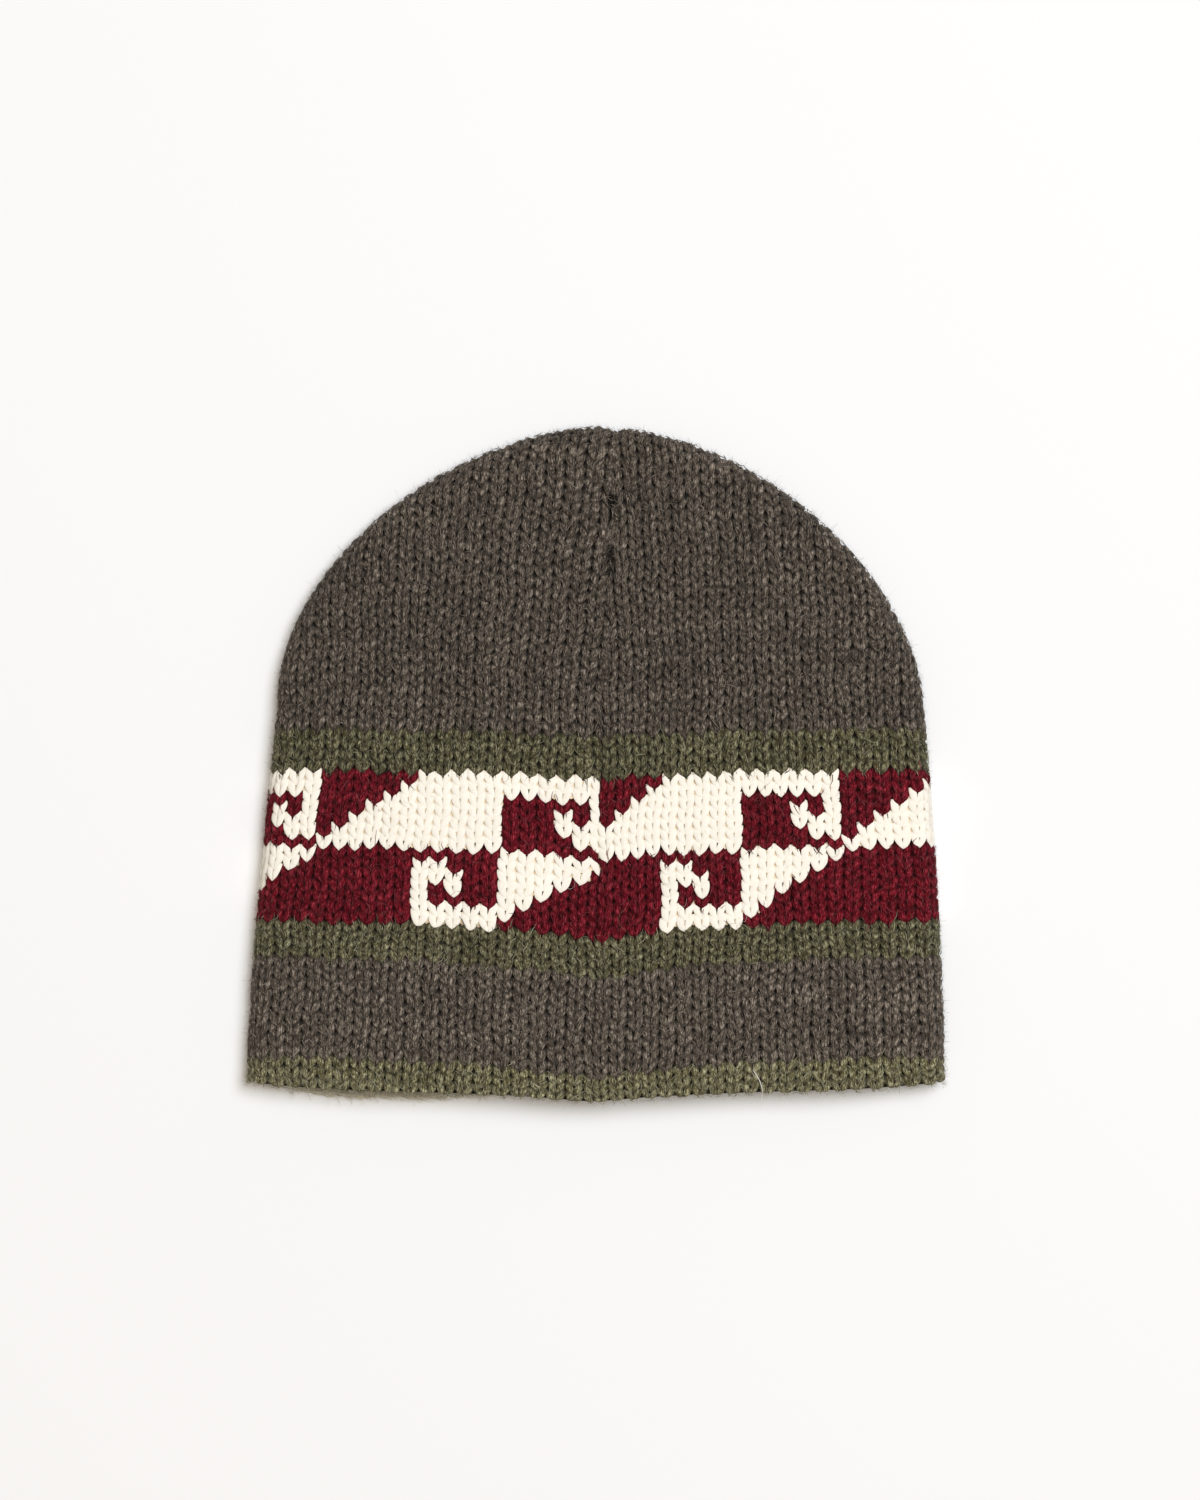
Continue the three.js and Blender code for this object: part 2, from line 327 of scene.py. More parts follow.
# Place on a layer laid out flat, of a column and level: columns are signed from the seam on the
# upper layer, and counted from the right-hand fold on the lower one
def flatPlace(column, leftSide, level, upper):
    base = np.minimum(level, domeLevel)
    edge = halfWidth(base) + foldAllowance
    seam, seamBase = seamX(level), seamX(base)
    leftPitch = (seamBase - centreX(base) + edge) / columns["left"]
    rightPitch = (centreX(base) + edge - seamBase) / columns["right"]
    fromSeam = column * np.where(leftSide, leftPitch, rightPitch)
    alongDome = np.clip((level - domeLevel) / fabric["domeHeight"], 0, fabric["pastTop"])
    pulled = (seam - seamBase) * np.exp(-np.abs(fromSeam) / fabric["seamPull"])
    lost = fabric["absorbed"] * alongDome ** fabric["absorbRoundness"]
    lost = lost * np.exp(-np.abs(fromSeam) / fabric["absorbReach"])
    drift = fabric["columnDrift"] * np.sin(math.pi * np.clip(np.abs(fromSeam) / edge, 0, 1))
    xUpper = seamBase + fromSeam + pulled - np.where(leftSide, -1.0, 1.0) * lost - drift
    xUnder = centreX(level) + edge - column * 2 * edge / columns["under"]
    x = np.where(upper, xUpper, xUnder)
    shareOut = np.clip(np.abs(x - centreX(level)) / edge, 0, fabric["pastFold"])
    y = level - np.where(upper, dipAt(x, level), 0) + cornerLift(level, shareOut)
    return x + waves(strayAcross, x, y), y + waves(strayUp, x, y) * (1 - nearBrim(level))


# Past the brim the fabric turns round a lip of half its thickness
def roundLip(level, depth):
    lip = fabric["wall"] / 2
    towardsBrim = smoothStep((levelMarks[1] - level) / (levelMarks[1] - brimLevel))
    level = level + fabric["lipRaise"] * towardsBrim
    over = np.maximum(brimLevel + lip - level, 0)
    angle = np.minimum(over / lip, math.pi)
    beyond = np.maximum(over - math.pi * lip, 0)
    newLevel = brimLevel + lip - (lip - depth) * np.sin(angle) + beyond
    newDepth = lip - (lip - depth) * np.cos(angle)
    return np.where(over > 0, newLevel, level), np.where(over > 0, newDepth, depth)


# A leg's closed spindle, shaped from a sphere whose poles are the leg's ends
def legShape(sides, rings):
    bm = bmesh.new()
    bmesh.ops.create_uvsphere(bm, u_segments=sides, v_segments=rings, radius=1)
    bm.verts.ensure_lookup_table()
    ball = np.array([v.co for v in bm.verts])
    faces = [[v.index for v in face.verts] for face in bm.faces]
    bm.free()
    t = 1 - np.arccos(np.clip(ball[:, 2], -1, 1)) / math.pi
    turn = np.arctan2(ball[:, 0], ball[:, 1]) / (2 * math.pi)
    onAxis = np.hypot(ball[:, 0], ball[:, 1]) < 1e-6
    marks = np.linspace(0, 1, len(legSections))
    along, across, width, thick, depth = [np.interp(t, marks, column) for column in zip(*legSections)]
    shape = {
        "along": along,
        "across": across + width * np.sin(2 * math.pi * turn),
        "depth": depth - thick * np.cos(2 * math.pi * turn),
        "faces": faces,
    }
    loops = []
    for face in faces:
        turns = [turn[v] for v in face if not onAxis[v]]
        mean = turns[0] + sum((other - turns[0] + 0.5) % 1 - 0.5 for other in turns) / len(turns)
        for v in face:
            here = mean if onAxis[v] else mean + (turn[v] - mean + 0.5) % 1 - 0.5
            loops.append((here * legSize["girth"] + t[v] * legSize["length"] * legSize["twist"],
                          t[v] * legSize["length"]))
    shape["uv"] = np.array(loops)
    return shape


def addObject(name, data):
    thing = bpy.data.objects.new(name, data)
    bpy.context.scene.collection.objects.link(thing)
    return thing


def objectFrom(bm, name):
    mesh = bpy.data.meshes.new(name)
    bm.to_mesh(mesh)
    bm.free()
    return addObject(name, mesh)


def addAttribute(mesh, label, values):
    kind, field = ("FLOAT_VECTOR", "vector") if values.ndim == 3 else ("FLOAT", "value")
    attribute = mesh.attributes.new(label, kind, "POINT")
    attribute.data.foreach_set(field, values.astype(np.float32).ravel())


# Many small shapes as one mesh: points is (copies, vertices, 3) in millimetres
def joinedPiece(name, points, faces, uv=None, tone=None, hollow=None, lie=None):
    copies, count = points.shape[:2]
    sizes = np.array([len(face) for face in faces])
    flatFaces = np.concatenate([np.array(face) for face in faces])
    corners = (flatFaces[None, :] + np.arange(copies)[:, None] * count).ravel()
    starts = np.concatenate([[0], np.cumsum(np.tile(sizes, copies))[:-1]])
    mesh = bpy.data.meshes.new(name)
    mesh.vertices.add(copies * count)
    mesh.vertices.foreach_set("co", (points / metre).astype(np.float32).ravel())
    mesh.loops.add(len(corners))
    mesh.loops.foreach_set("vertex_index", corners.astype(np.int32))
    mesh.polygons.add(len(starts))
    mesh.polygons.foreach_set("loop_start", starts.astype(np.int32))
    mesh.polygons.foreach_set("use_smooth", np.ones(len(starts), bool))
    if uv is not None:
        layer = mesh.uv_layers.new(name="UVMap")
        layer.data.foreach_set("uv", uv.astype(np.float32).ravel())
    for label, values in (("tone", tone), ("hollow", hollow), ("lie", lie)):
        if values is not None:
            addAttribute(mesh, label, values)
    mesh.update(calc_edges=True)
    mesh.validate()
    return addObject(name, mesh)


# Every leg of the cap: column and row of its stitch, which side of the stitch, and the layer
def allLegs():
    rows = np.arange(totalRows + extraRows)
    found = []
    left = -np.arange(0, columns["left"] + 0.5)
    right = np.arange(0.5, columns["right"])
    under = np.arange(0.5, columns["under"])
    for centres, first, upper, leftSide in (
        (left, columns["firstLeft"], True, True),
        (right, columns["firstRight"], True, False),
        (under, columns["firstUnder"], False, False),
    ):
        for step, centre in enumerate(centres):
            charted = (first - 1 + (-step if leftSide else step)) % len(figure[0])
            for side in (-1, 1):
                if leftSide and centre == 0 and side == 1:
                    continue   # the seam takes this half of the column
                for row in rows:
                    found.append((centre, row, side, upper, leftSide, charted))
    table = np.array(found, float)
    return {
        "column": table[:, 0],
        "row": table[:, 1].astype(int),
        "side": table[:, 2],
        "upper": table[:, 3] > 0,
        "leftSide": table[:, 4] > 0,
        "charted": table[:, 5].astype(int),
    }


def pick(legs, chosen):
    return {key: values[chosen] for key, values in legs.items()}


# Leaves out the legs that fall past the fold over the crown, or into the seam
trim = {"pastFold": 0.4, "intoSeam": 0.7}


def trimLegs(legs):
    level = levelOfRow(legs["row"] + 0.5)
    middle = legs["column"] + legSize["middle"] * legs["side"]
    x, y = flatPlace(middle, legs["leftSide"], level, legs["upper"])
    onLayer = readGrid(insideGrid, x, y) + foldAllowance > -trim["pastFold"]
    clear = np.where(legs["leftSide"], seamX(level) - x, x - seamX(level)) > -trim["intoSeam"]
    return pick(legs, (onLayer | (level < domeLevel)) & (clear | ~legs["upper"]))


# The zone of each leg, and whether it is cream
def yarnOf(legs):
    starts = np.array([zone["firstRow"] for zone in zones])
    zoneIndex = np.clip(np.searchsorted(starts, legs["row"], side="right") - 1, 0, len(zones) - 1)
    motif = [zone["name"] for zone in zones].index("motif_band")
    chart = np.array([[mark == "x" for mark in line] for line in figure])
    fromTop = np.clip(len(figure) - 1 - (legs["row"] - starts[motif]), 0, len(figure) - 1)
    return zoneIndex, (zoneIndex == motif) & chart[fromTop, legs["charted"]]


# How strongly each mark on the seam shows at these places
def markShares(x, y, upper):
    for mark in seamMarks.values():
        across, along = (x - mark["x"]) / mark["wide"], np.abs(y - mark["y"]) / mark["long"]
        yield mark, np.exp(-across ** 2) * smoothStep(markEnds - markEnds * along) * upper


# Yarn runs along the rows and is lighter and darker by turns, and so, more faintly, are the columns
yarnStreaks = {"rowSize": 0.5, "columnSize": 0.4, "lengths": (3.1, 7.3, 15.7), "phases": 100, "seed": 5}


def streaksOf(legs):
    streaks = np.random.default_rng(yarnStreaks["seed"])
    phases = streaks.uniform(0, 2 * math.pi, (2, yarnStreaks["phases"], 3))
    alongRow = legs["column"][:, None] / yarnStreaks["lengths"] + phases[0][legs["row"]]
    halfColumn = np.round(2 * legs["column"] + legs["side"] / 2).astype(int) % yarnStreaks["phases"]
    alongColumn = legs["row"][:, None] / yarnStreaks["lengths"] + phases[1][halfColumn]
    byRow, byColumn = np.sin(alongRow).sum(1), np.sin(alongColumn).sum(1)
    return yarnStreaks["rowSize"] * byRow + yarnStreaks["columnSize"] * byColumn


# How unevenly the legs lie: across in columns, along in rows, depth in millimetres, tones in shades
unevenness = {
    "outlineAcross": 0.008,   # of the yarn's own outline
    "outlineDepth": 0.04,
    "stitchAcross": 0.022,
    "stitchAlong": 0.045,
    "stitchDepth": 0.14,
    "stitchTone": 0.6,
    "stitches": 8191,         # stitches with different numbers, the same for both legs of one,
    "steps": (977, 131, 7),   # and how far on among them the next row, half column and layer are
    "seed": 3,
    "legLength": 0.03,
    "legDepth": 0.10,
    "legTone": 0.7,
    "sideTone": 0.7,          # one leg of a stitch is lighter than the other
    "hidden": 2.4,            # depth at which a leg is wholly in the hollow between its neighbours
    "overFloor": 0.02,        # stitches underneath are pressed on the floor
    "patternShift": 50,
}


def stitchNumbers(legs):
    perRow, perHalf, perLayer = unevenness["steps"]
    halfColumn = np.round(legs["column"] * 2).astype(int)
    key = legs["row"] * perRow + halfColumn * perHalf + legs["upper"] * perLayer
    numbers = np.random.default_rng(unevenness["seed"]).normal(size=(unevenness["stitches"], 4))
    return numbers[key % unevenness["stitches"]]


def legPiece(name, legs, jitter, fullness, tint):
    upper = bool(legs["upper"].all())
    shape = legShape(*legSize["upperFaces" if upper else "underFaces"])
    count = len(legs["row"])
    perStitch = stitchNumbers(legs)
    perLeg = rng.normal(size=(count, 3))
    rough = rng.normal(size=(2, count, len(shape["across"])))
    across = shape["across"][None, :] * legs["side"][:, None]
    across = across + rough[0] * unevenness["outlineAcross"] * jitter
    across = across + (perStitch[:, 0] * unevenness["stitchAcross"] * jitter)[:, None]
    along = shape["along"][None, :] * (1 + perLeg[:, 0] * unevenness["legLength"] * jitter)[:, None]
    along = along + (perStitch[:, 1] * unevenness["stitchAlong"] * jitter)[:, None]
    depth = shape["depth"][None, :] * fullness + rough[1] * unevenness["outlineDepth"] * jitter
    stitchDepth = perStitch[:, 2] * unevenness["stitchDepth"] * jitter
    depth = depth + (stitchDepth + perLeg[:, 1] * unevenness["legDepth"] * jitter)[:, None]
    column = legs["column"][:, None] + across
    level = levelOfRow(legs["row"][:, None] + 0.5 + along)
    level, depth = roundLip(level, depth)
    wide = np.ones_like(across, bool)
    onUpper = legs["upper"][:, None] & wide
    x, y = flatPlace(column, legs["leftSide"][:, None] & wide, level, onUpper)
    # how deep each point lies in the leg: the material turns it into painted shade in the gaps and a
    # painted highlight on the crest
    hollow = np.repeat(np.clip(shape["depth"] / unevenness["hidden"], 0, 1)[None, :], count, 0)
    own = legs["side"] * unevenness["sideTone"] + perStitch[:, 3] * unevenness["stitchTone"]
    own = own + perLeg[:, 2] * unevenness["legTone"] + streaksOf(legs)
    tone = tint + own[:, None] * wide
    # the marks sink the yarn and deepen its painted shade, and paint shade in the slit and pit and a
    # highlight on the ridge
    for mark, share in markShares(x, y, onUpper):
        depth = depth + mark["deeper"] * share
        hollow = hollow + max(mark["deeper"], 0) * share
        tone = tone + mark["paintedLight"] * share
    points, lie = fabricPoints(x, y, onUpper, depth)
    points[..., 2] = np.maximum(points[..., 2], unevenness["overFloor"])
    mirror = np.stack([legs["side"], np.ones(count)], 1)[:, None, :]
    shift = rng.uniform(0, unevenness["patternShift"], size=(count, 1, 2))
    uv = shape["uv"][None, :, :] * mirror + shift
    piece = joinedPiece(name, points, shape["faces"], uv, tone, hollow, lie)
    turnOutwards(piece)
    return piece


# Mirrored copies come out with their faces turned in, so each closed shape is made to face out
def turnOutwards(piece):
    bm = bmesh.new()
    bm.from_mesh(piece.data)
    bmesh.ops.recalc_face_normals(bm, faces=bm.faces)
    bm.to_mesh(piece.data)
    bm.free()


# Gives a node's sockets their values, or links them to the sockets of other nodes
def setSockets(tree, node, sockets):
    for name, value in sockets.items():
        if isinstance(value, bpy.types.NodeSocket):
            tree.links.new(value, node.inputs[name])
        else:
            node.inputs[name].default_value = value


def addNode(tree, kind, sockets=None, **settings):
    node = tree.nodes.new("ShaderNode" + kind)
    for setting, value in settings.items():
        setattr(node, setting, value)
    setSockets(tree, node, sockets or {})
    return node


def addRamp(tree, amount, stops):
    ramp = addNode(tree, "ValToRGB", {"Fac": amount})
    elements = ramp.color_ramp.elements
    for stop, (position, colour) in enumerate(stops):
        element = elements[stop] if stop < 2 else elements.new(position)
        element.position = position
        element.color = linear(*colour)
    return ramp


def newMaterial(name):
    material = bpy.data.materials.new(name)
    material.use_nodes = True
    tree = material.node_tree
    tree.nodes.clear()
    shader = addNode(tree, "BsdfPrincipled")
    addNode(tree, "OutputMaterial", {"Surface": shader.outputs["BSDF"]})
    return material, tree, shader


def linear(red, green, blue):
    return tuple((c / 255 / 12.92) if c / 255 <= 0.04045 else ((c / 255 + 0.055) / 1.055) ** 2.4
                 for c in (red, green, blue)) + (1.0,)


# Wool: colours of its fibres, dark to light, and the painted shade of the gaps between stitches. Then how
# wide the mix of its fibres is, how cloudy it is, how much lighter a shade of tone is, and how much painted
# highlight and shade its crests and flanks get. Last, how unevenly its stitches lie, and how full they are:
# less is fuller
wools = {
    "charcoal": {
        "dark": (31, 25, 20), "base": (65, 58, 50), "light": (154, 142, 130), "gap": (11, 8, 5),
        "spread": 0.13, "clouds": 0.4, "uneven": 0.1, "crestShading": 0.72, "gapShadeFrom": 0.05,
        "sheen": 0.1, "shine": 0.15, "relief": 0.8, "soft": 0.3, "jitter": 0.75, "fullness": 1.0,
    },
    "olive": {
        "dark": (35, 32, 16), "base": (69, 64, 43), "light": (161, 158, 128), "gap": (13, 12, 5),
        "spread": 0.13, "clouds": 0.4, "uneven": 0.1, "crestShading": 0.72, "gapShadeFrom": 0.05,
        "sheen": 0.1, "shine": 0.15, "relief": 0.8, "soft": 0.3, "jitter": 0.75, "fullness": 1.0,
    },
    "burgundy": {
        "dark": (50, 2, 8), "base": (83, 9, 20), "light": (156, 54, 66), "gap": (20, 1, 3),
        "spread": 0.13, "clouds": 0.3, "uneven": 0.09, "crestShading": 0.65, "gapShadeFrom": 0.1,
        "sheen": 0.05, "shine": 0.08, "relief": 0.7, "soft": 0.3, "jitter": 0.6, "fullness": 0.95,
    },
    "cream": {
        "dark": (242, 232, 217), "base": (252, 246, 233), "light": (255, 253, 246), "gap": (236, 220, 195),
        "spread": 0.2, "clouds": 0.04, "uneven": 0.012, "crestShading": 0.0, "gapShadeFrom": 0.3,
        "sheen": 0.3, "shine": 0.2, "relief": 0.12, "soft": 0.6, "jitter": 0.45, "fullness": 0.7,
    },
}


def scaled(tree, value, factor, added):
    return addNode(tree, "Math", {0: value, 1: factor, 2: added}, operation="MULTIPLY_ADD").outputs["Value"]


def woolMaterial(name, wool):
    material, tree, shader = newMaterial(name)
    coordinates = addNode(tree, "TexCoord")
    onLeg, onCap = coordinates.outputs["UV"], coordinates.outputs["Object"]
    # fibres run along the leg
    stretch = addNode(tree, "Mapping", {"Vector": onLeg, "Scale": (2.6, 0.6, 1.0)})
    grain = {"Vector": stretch.outputs["Vector"], "Scale": 1.0, "Detail": 5, "Roughness": 0.72}
    fibres = addNode(tree, "TexNoise", grain)
    # heather: patches of light and dark fibre across stitches
    heather = addNode(tree, "TexNoise", {"Vector": onCap, "Scale": 900, "Detail": 3, "Roughness": 0.65})
    blend = addNode(tree, "Mix", {"Factor": 0.3, "A": fibres.outputs["Fac"], "B": heather.outputs["Fac"]})
    darkEnd, lightEnd = 0.5 - wool["spread"], 0.5 + wool["spread"]
    stops = ((darkEnd, wool["dark"]), (lightEnd, wool["light"]), (0.5, wool["base"]))
    ramp = addRamp(tree, blend.outputs["Result"], stops)
    # each leg has its own tone, which also carries the painted shade and highlight of the seam's marks, and
    # the fabric wide, faint clouds
    tone = addNode(tree, "Attribute", attribute_name="tone")
    clouds = addNode(tree, "TexNoise", {"Vector": onCap, "Scale": 70, "Detail": 2})
    cloudScale = scaled(tree, clouds.outputs["Fac"], wool["clouds"], 1.0 - wool["clouds"] / 2)
    toneScale = scaled(tree, tone.outputs["Fac"], wool["uneven"], cloudScale)
    # with a painted highlight along its crest and painted shade where it goes in under its neighbours
    hollow = addNode(tree, "Attribute", attribute_name="hollow")
    crestShading = addNode(tree, "MapRange", {"Value": hollow.outputs["Fac"], "From Min": 0.5, "From Max": 0.06,
                                       "To Min": -wool["crestShading"] / 2, "To Max": wool["crestShading"] / 2})
    crested = addNode(tree, "Math", {0: toneScale, 1: crestShading.outputs["Result"]}, operation="ADD")
    toned = {0: ramp.outputs["Color"], "Scale": crested.outputs["Value"]}
    toned = addNode(tree, "VectorMath", toned, operation="SCALE")
    # painted shade: the gap colour takes over, raggedly, where the leg goes deep among its neighbours
    ragged = scaled(tree, blend.outputs["Result"], 0.7, hollow.outputs["Fac"])
    gapShade = {"Value": ragged, "From Min": wool["gapShadeFrom"] + 0.35, "From Max": 1.1}
    gapShade = addNode(tree, "MapRange", gapShade, interpolation_type="SMOOTHSTEP")
    colour = {"Factor": gapShade.outputs["Result"], "A": toned.outputs["Vector"], "B": linear(*wool["gap"])}
    colour = addNode(tree, "Mix", colour, data_type="RGBA")
    # relief of the twisted plies and their fibres
    slant = addNode(tree, "Mapping", {"Vector": onLeg, "Rotation": (0, 0, math.radians(38))})
    plies = {"Vector": slant.outputs["Vector"], "Scale": 0.22, "Distortion": 1.2, "Detail": 1}
    plies = addNode(tree, "TexWave", plies, wave_type="BANDS", bands_direction="X")
    relief = addNode(tree, "Mix", {"Factor": 0.5, "A": plies.outputs["Fac"], "B": fibres.outputs["Fac"]})
    # light scatters in soft yarn, so its shape shades less: the normal leans to that of the fabric
    lie = addNode(tree, "Attribute", attribute_name="lie")
    toWorld = {"vector_type": "NORMAL", "convert_from": "OBJECT", "convert_to": "WORLD"}
    turned = addNode(tree, "VectorTransform", {"Vector": lie.outputs["Vector"]}, **toWorld)
    surface = addNode(tree, "NewGeometry")
    soften = {"Factor": wool["soft"], "A": surface.outputs["Normal"], "B": turned.outputs["Vector"]}
    soften = addNode(tree, "Mix", soften, data_type="VECTOR")
    unit = addNode(tree, "VectorMath", {0: soften.outputs["Result"]}, operation="NORMALIZE")
    bump = addNode(tree, "Bump", {"Strength": wool["relief"], "Distance": 0.0005,
                                  "Height": relief.outputs["Result"], "Normal": unit.outputs["Vector"]})
    setSockets(tree, shader, {"Base Color": colour.outputs["Result"], "Normal": bump.outputs["Normal"],
                              "Roughness": 0.9, "Specular IOR Level": wool["shine"],
                              "Sheen Weight": wool["sheen"], "Sheen Roughness": 0.5})
    return material


# The fabric behind the stitches, with the purl side's bumps on its inner face
ground = {
    "depth": 1.7,             # of its outer face below the outside of the cap
    "motifDepth": 1.25,       # the yarn carried behind the two colours fills that band's fabric
    "around": 124,
    "bump": 0.55,
    "lipBack": 1.4,           # how far it stands back from the brim
    "dipFade": 20.0,          # its rows lie level again at the fold, from this far below
    "behindCream": (252, 230, 196),
}


# Where a layer laid out flat ends on one side, found by halving
def flatEdge(level, sign):
    low, high = np.zeros_like(level), np.full_like(level, brimWidth)
    for _ in range(32):
        middle = (low + high) / 2
        within = readGrid(insideGrid, centreX(level) + sign * middle, level) + foldAllowance > 0
        low, high = np.where(within, middle, low), np.where(within, high, middle)
    return centreX(level) + sign * low


# Places round the cap: the upper layer from left to right, then the lower one back
def ringPlaces(share, level):
    left, right = flatEdge(level, -1), flatEdge(level, 1)
    upper = share < 0.5
    x = np.where(upper, left + (right - left) * share * 2, right - (right - left) * (share * 2 - 1))
    dip = dipAt(x, level, smoothStep((flatTop - level) / ground["dipFade"]))
    shareOut = np.clip(np.abs(x - centreX(level)) / (halfWidth(level) + foldAllowance), 0, 1)
    return x, level - np.where(upper, dip, 0) + cornerLift(level, shareOut), upper


def groundPiece(zone):
    isCrown = zone["name"] == "crown"
    low = zone["low"] + (ground["lipBack"] if zone["name"] == "brim_edge" else 0)
    innerRows, outerRows = zone["rows"] * 2, zone["rows"]
    if isCrown:
        inner = flatTop - (flatTop - low) * (1 - np.cos(np.linspace(0, math.pi / 2, innerRows + 1)))
        inner[0] = flatTop
        outer = low + (flatTop - low) * np.sin(np.linspace(0, math.pi / 2, outerRows + 1))
        levels = np.concatenate([inner, outer])
        wall = np.full(len(inner), fabric["wall"])
        depths = np.concatenate([wall, np.full(len(outer), ground["depth"])])
        purl = np.concatenate([np.ones(len(inner)), np.zeros(len(outer))])
        purl[0] = 0
    else:
        outer = np.linspace(low, zone["high"], outerRows + 1)
        inner = np.linspace(zone["high"], low, innerRows + 1)
        levels = np.concatenate([outer, inner, outer[:1]])
        outerDepth = ground["motifDepth"] if zone["name"] == "motif_band" else ground["depth"]
        wall = np.full(len(inner), fabric["wall"])
        depths = np.concatenate([np.full(len(outer), outerDepth), wall, [outerDepth]])
        purl = np.concatenate([np.zeros(len(outer)), np.ones(len(inner)), [0]])
    bm = bmesh.new()
    bmesh.ops.create_grid(bm, x_segments=ground["around"], y_segments=len(levels) - 1, size=0.5)
    grid = np.array([v.co for v in bm.verts])
    across = np.rint((grid[:, 0] + 0.5) * ground["around"]).astype(int)
    step = np.rint((grid[:, 1] + 0.5) * (len(levels) - 1)).astype(int)
    bumps = ((across + step) % 2) * ground["bump"] * purl[step]
    across = across % ground["around"]
    x, y, upper = ringPlaces(across / ground["around"], levels[step])
    points, _ = fabricPoints(x, y, upper, depths[step] - bumps)
    for vert, point in zip(bm.verts, points / metre):
        vert.co = point
    bmesh.ops.remove_doubles(bm, verts=bm.verts, dist=1e-7)
    bmesh.ops.recalc_face_normals(bm, faces=bm.faces)
    for face in bm.faces:
        face.smooth = True
    return objectFrom(bm, zone["name"] + "_ground")


# Marks the parts of the ground that lie behind cream stitches
def markCream(piece, legs, cream):
    level = levelOfRow(legs["row"] + 0.5)
    column = legs["column"] + legSize["middle"] * legs["side"]
    x, y = flatPlace(column, legs["leftSide"], level, legs["upper"])
    middles, _ = fabricPoints(x, y, legs["upper"], np.full(len(x), ground["depth"]))
    places = np.array([v.co for v in piece.data.vertices]) * metre
    marks = np.zeros(len(places))
    for index, place in enumerate(places):
        marks[index] = cream[np.argmin(((middles - place) ** 2).sum(1))]
    addAttribute(piece.data, "cream", marks)


def groundMaterial(name, wool):
    material, tree, shader = newMaterial(name)
    coordinates = addNode(tree, "TexCoord")
    heather = {"Vector": coordinates.outputs["Object"], "Scale": 1400, "Detail": 3}
    heather = addNode(tree, "TexNoise", heather)
    # the fabric behind shows only in the holes between stitches, so it is drawn in the wool's painted gap
    # shade and dark fibre colour
    ramp = addRamp(tree, heather.outputs["Fac"], ((0.3, wool["gap"]), (0.75, wool["dark"])))
    behind = addNode(tree, "Attribute", attribute_name="cream")
    within = addNode(tree, "MapRange", {"Value": behind.outputs["Fac"], "From Min": 0.75})
    behindCream = linear(*ground["behindCream"])
    colour = {"Factor": within.outputs["Result"], "A": ramp.outputs["Color"], "B": behindCream}
    colour = addNode(tree, "Mix", colour, data_type="RGBA")
    bump = addNode(tree, "Bump", {"Strength": 0.6, "Distance": 0.0004, "Height": heather.outputs["Fac"]})
    setSockets(tree, shader, {"Base Color": colour.outputs["Result"], "Normal": bump.outputs["Normal"],
                              "Roughness": 0.95, "Specular IOR Level": 0.15})
    return material


# Only the motif band has two yarns, so only its pieces are named for theirs
def pieceName(zone, yarn, ending):
    return zone["name"] + "_" + (yarn + "_" if zone["name"] == "motif_band" else "") + ending


print("stitches")
legs = trimLegs(allLegs())
zoneIndex, cream = yarnOf(legs)
materials = {yarn: woolMaterial(yarn + "Wool", wool) for yarn, wool in wools.items()}
groundMaterials = {yarn: groundMaterial(yarn + "Ground", wool) for yarn, wool in wools.items()}
for index, zone in enumerate(zones):
    for upper, layer in ((True, "back"), (False, "front")):
        for yarn in (zone["yarn"], "cream"):
            chosen = (zoneIndex == index) & (legs["upper"] == upper) & (cream == (yarn == "cream"))
            if not chosen.any():
                continue
            name, wool = pieceName(zone, yarn, layer), wools[yarn]
            piece = legPiece(name, pick(legs, chosen), wool["jitter"], wool["fullness"], zone["tone"])
            piece.data.materials.append(materials[yarn])
            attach(piece, "root")
            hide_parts(zone["name"])
            print(name, len(piece.data.polygons))

print("ground")
for zone in zones:
    piece = groundPiece(zone)
    if zone["name"] == "motif_band":
        inBand = zoneIndex == zones.index(zone)
        markCream(piece, pick(legs, inBand), cream[inBand])
    piece.data.materials.append(groundMaterials[zone["yarn"]])
    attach(piece, "root")
    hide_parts(zone["name"])

# Loose fibres that stand off the yarn. Locks lie on it and cross the gaps, hairs stand up, a halo of them
# softens the outline, and strays wander over many stitches. How many of each for a leg that they grow on
hairs = {
    "charcoal": {"lock": 3.0, "hair": 0.8, "halo": 6.0, "stray": 0.05,
                 "dark": (36, 30, 25), "light": (156, 144, 131)},
    "olive": {"lock": 3.0, "hair": 0.8, "halo": 6.5, "stray": 0.03,
              "dark": (42, 38, 20), "light": (176, 173, 146)},
    "burgundy": {"lock": 2.4, "hair": 0.6, "halo": 7.0, "stray": 0.05,
                 "dark": (54, 4, 10), "light": (160, 74, 80)},
    "cream": {"lock": 0.0, "hair": 0.1, "halo": 5.0, "stray": 0.01,
              "dark": (250, 242, 226), "light": (255, 253, 247)},
}
# Sizes in millimetres, how strongly they curl and how far they turn from the leg's own direction, the
# share of them on the lower layer, and whether they may hang over the brim's edge
hairKinds = {
    "lock": {"rings": 3, "length": 2.0, "lift": 0.22, "width": 0.30, "curl": 0.6, "wander": 0.40,
             "bright": 0.38, "under": 0.05, "hangs": False},
    "hair": {"rings": 4, "length": 2.6, "lift": 0.5, "width": 0.10, "curl": 1.2, "wander": 0.7,
             "bright": 0.62, "under": 0.25, "hangs": False},
    "halo": {"rings": 3, "length": 1.6, "lift": 0.9, "width": 0.05, "curl": 1.5, "wander": 1.2,
             "bright": 0.8, "under": 0.7, "hangs": True},
    "stray": {"rings": 14, "length": 8.0, "lift": 0.7, "width": 0.09, "curl": 3.2, "wander": 2.0,
              "bright": 0.8, "under": 0.0, "hangs": False},
}
